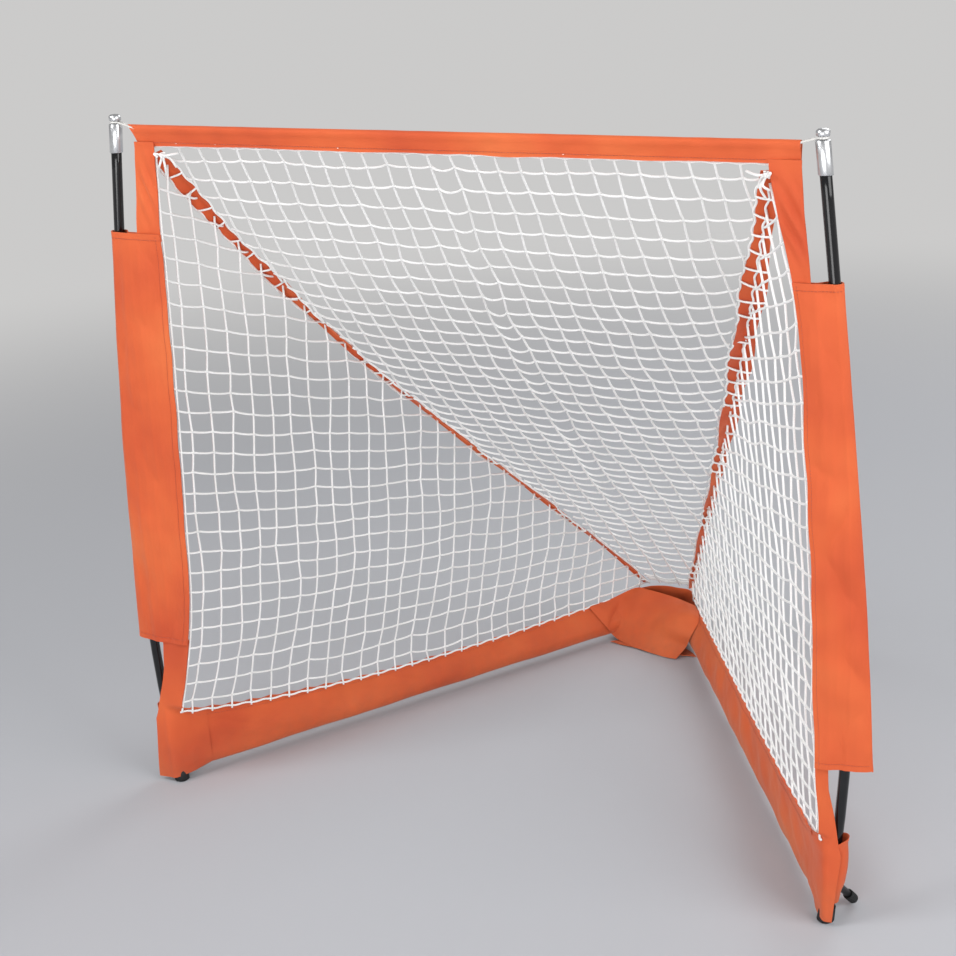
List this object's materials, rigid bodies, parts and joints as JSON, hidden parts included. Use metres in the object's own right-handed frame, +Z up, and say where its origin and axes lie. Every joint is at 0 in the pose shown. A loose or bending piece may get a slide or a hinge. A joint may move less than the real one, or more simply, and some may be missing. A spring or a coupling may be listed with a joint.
{
  "type": "hockey goal net",
  "caption": "Portable folding goal: bowed poles in a V base hold a fabric top bar and a pyramid net with fabric hems, wrap-round pole flaps and a rear hub pocket.",
  "frame": {"origin": "centre of the rear hub foot's flat underside, on the floor", "axes": "+X to the right as seen facing the goal mouth, +Y backwards away from the goal line, +Z up"},
  "size_m": [1.36, 1.0065, 1.229],
  "materials": {
    "orange_fabric": "woven polyester, matt with a slight sheen",
    "white_net": "knotted braided twine, matt",
    "white_cord": "braided elastic cord",
    "black_fibreglass": "glossy pultruded fibreglass",
    "black_paint": "satin powder coat on steel",
    "black_rubber": "moulded matt rubber",
    "bright_metal": "bright turned metal",
    "zinc_steel": "zinc plated",
    "black_tape": "hook-and-loop tape"
  },
  "bodies": {
    "hub": {"hub_foot_pad": "black_rubber", "hub_pad_screw": "zinc_steel", "hub_base_plate": "black_paint", "hub_top_plate": "black_paint", "pivot_bolt_left": "zinc_steel", "pivot_bolt_right": "zinc_steel", "pivot_nut_left": "zinc_steel", "pivot_nut_right": "zinc_steel", "rear_pocket_cover": "orange_fabric", "rear_pocket_floor": "orange_fabric", "back_net": "white_net", "top_bar_sleeve": "orange_fabric", "top_bar_cord": "white_cord"},
    "arm_left": {"base_arm_left": "black_paint", "arm_end_plug_left": "black_rubber", "pole_socket_left": "black_paint", "socket_rivet_left": "zinc_steel", "foot_cap_left": "black_rubber", "leg_tip_left": "black_rubber", "bottom_sleeve_left": "orange_fabric", "corner_pocket_left": "orange_fabric", "post_band_left": "orange_fabric", "flap_front_left": "orange_fabric", "hook_tape_left": "black_tape", "corner_strap_left": "orange_fabric", "side_net_left": "white_net", "corner_loop_left": "white_cord"},
    "pole_left": {"pole_lower_left": "black_fibreglass", "pole_ferrule_left": "bright_metal", "pole_upper_left": "black_fibreglass", "shock_cord_left": "white_cord", "tip_cap_left": "bright_metal", "tip_knob_left": "bright_metal"},
    "flap_left": {"flap_back_left": "orange_fabric", "loop_tape_left": "black_tape"},
    "arm_right": {"base_arm_right": "black_paint", "arm_end_plug_right": "black_rubber", "pole_socket_right": "black_paint", "socket_rivet_right": "zinc_steel", "foot_cap_right": "black_rubber", "leg_tip_right": "black_rubber", "bottom_sleeve_right": "orange_fabric", "corner_pocket_right": "orange_fabric", "post_band_right": "orange_fabric", "flap_front_right": "orange_fabric", "hook_tape_right": "black_tape", "corner_strap_right": "orange_fabric", "side_net_right": "white_net", "corner_loop_right": "white_cord"},
    "pole_right": {"pole_lower_right": "black_fibreglass", "pole_ferrule_right": "bright_metal", "pole_upper_right": "black_fibreglass", "shock_cord_right": "white_cord", "tip_cap_right": "bright_metal", "tip_knob_right": "bright_metal"},
    "flap_right": {"flap_back_right": "orange_fabric", "loop_tape_right": "black_tape"}
  },
  "joints": [
    {"name": "base_fold_left", "type": "hinge", "parent": "hub", "child": "arm_left", "pos_m": [-0.045, 0, 0.0397], "axis": [0, 0, 1], "range_deg": [0, 26], "deforming": ["top_bar_sleeve", "top_bar_cord", "back_net", "rear_pocket_cover", "rear_pocket_floor"]},
    {"name": "base_fold_right", "type": "hinge", "parent": "hub", "child": "arm_right", "pos_m": [0.045, 0, 0.0397], "axis": [0, 0, 1], "range_deg": [-26, 0]},
    {"name": "pole_lift_left", "type": "slide", "parent": "arm_left", "child": "pole_left", "axis": [-0.0995, 0, 0.995], "range_m": [0, 0.06], "deforming": ["corner_loop_left"]},
    {"name": "pole_lift_right", "type": "slide", "parent": "arm_right", "child": "pole_right", "axis": [0.0995, 0, 0.995], "range_m": [0, 0.06], "deforming": ["corner_loop_right"]},
    {"name": "flap_open_left", "type": "hinge", "parent": "arm_left", "child": "flap_left", "pos_m": [-0.68, -0.95, 0.285], "axis": [0.0824, 0, 0.9966], "range_deg": [0, 110]},
    {"name": "flap_open_right", "type": "hinge", "parent": "arm_right", "child": "flap_right", "pos_m": [0.68, -0.95, 0.285], "axis": [0.0824, 0, -0.9966], "range_deg": [0, 110]}
  ],
  "couplings": [
    {"joint": "base_fold_right", "follows": "base_fold_left", "ratio": -1}
  ]
}
